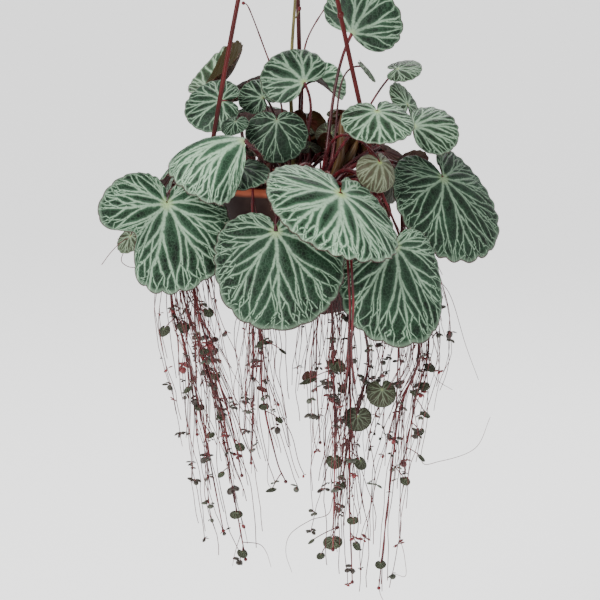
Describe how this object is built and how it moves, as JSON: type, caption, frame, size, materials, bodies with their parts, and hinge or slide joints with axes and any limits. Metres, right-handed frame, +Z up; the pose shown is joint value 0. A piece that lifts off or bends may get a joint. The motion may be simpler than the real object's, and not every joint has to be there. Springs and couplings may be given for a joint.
{
  "type": "potted strawberry begonia",
  "caption": "Hanging pot on a hook and thin hangers, holding a strawberry begonia with round silver-veined leaves and trailing runners that carry small plantlets.",
  "frame": {"origin": "saddle of the hook, where the inside of its bend rests on what the pot hangs from", "axes": "+Z up along the hanging line, -Y towards the side the picture shows, +X to the viewer's right"},
  "size_m": [0.2619, 0.2326, 0.6064],
  "materials": {
    "pot": "terracotta red moulded plastic, slightly dusty",
    "hanger": "dark brick red flexible plastic",
    "soil": "damp potting mix of peat and fine bark",
    "leaf": "velvety green blade with silver veins, wine red underneath, on a crimson stalk",
    "crown": "crimson, finely hairy",
    "flower_stalk": "olive green, finely hairy",
    "runner": "dark red thread-like stems with brown-green plantlets"
  },
  "bodies": {
    "root": {"crown_back": "crown", "crown_left": "crown", "crown_right": "crown", "flower_stalk": "flower_stalk", "hanger_hook": "hanger", "hanger_strand_back": "hanger", "hanger_strand_left": "hanger", "hanger_strand_right": "hanger", "leaf_back_left": "leaf", "leaf_back_low": "leaf", "leaf_back_middle": "leaf", "leaf_back_right": "leaf", "leaf_back_top_left": "leaf", "leaf_back_top_right": "leaf", "leaf_behind_crest": "leaf", "leaf_crest": "leaf", "leaf_crest_right": "leaf", "leaf_edge": "leaf", "leaf_folded": "leaf", "leaf_front": "leaf", "leaf_grey": "leaf", "leaf_inner": "leaf", "leaf_left": "leaf", "leaf_low_front": "leaf", "leaf_low_right": "leaf", "leaf_mid_left": "leaf", "leaf_right": "leaf", "leaf_right_mid": "leaf", "leaf_shade_left": "leaf", "leaf_shaded_right": "leaf", "leaf_side_left": "leaf", "leaf_small_left": "leaf", "leaf_spinner": "leaf", "leaf_tilted": "leaf", "leaf_top_left": "leaf", "leaf_top_right": "leaf", "leaf_upper_left": "leaf", "leaf_upper_right": "leaf", "leaf_young": "leaf", "pot": "pot", "runner_back_1": "runner", "runner_back_2": "runner", "runner_front_1": "runner", "runner_left_1": "runner", "runner_left_2": "runner", "runner_left_3": "runner", "runner_middle_1": "runner", "runner_middle_2": "runner", "runner_middle_3": "runner", "runner_right_1": "runner", "runner_right_2": "runner", "runner_rising_left": "runner", "runner_rising_right": "runner", "runner_side_left": "runner", "runner_side_right": "runner", "soil": "soil"}
  },
  "joints": []
}
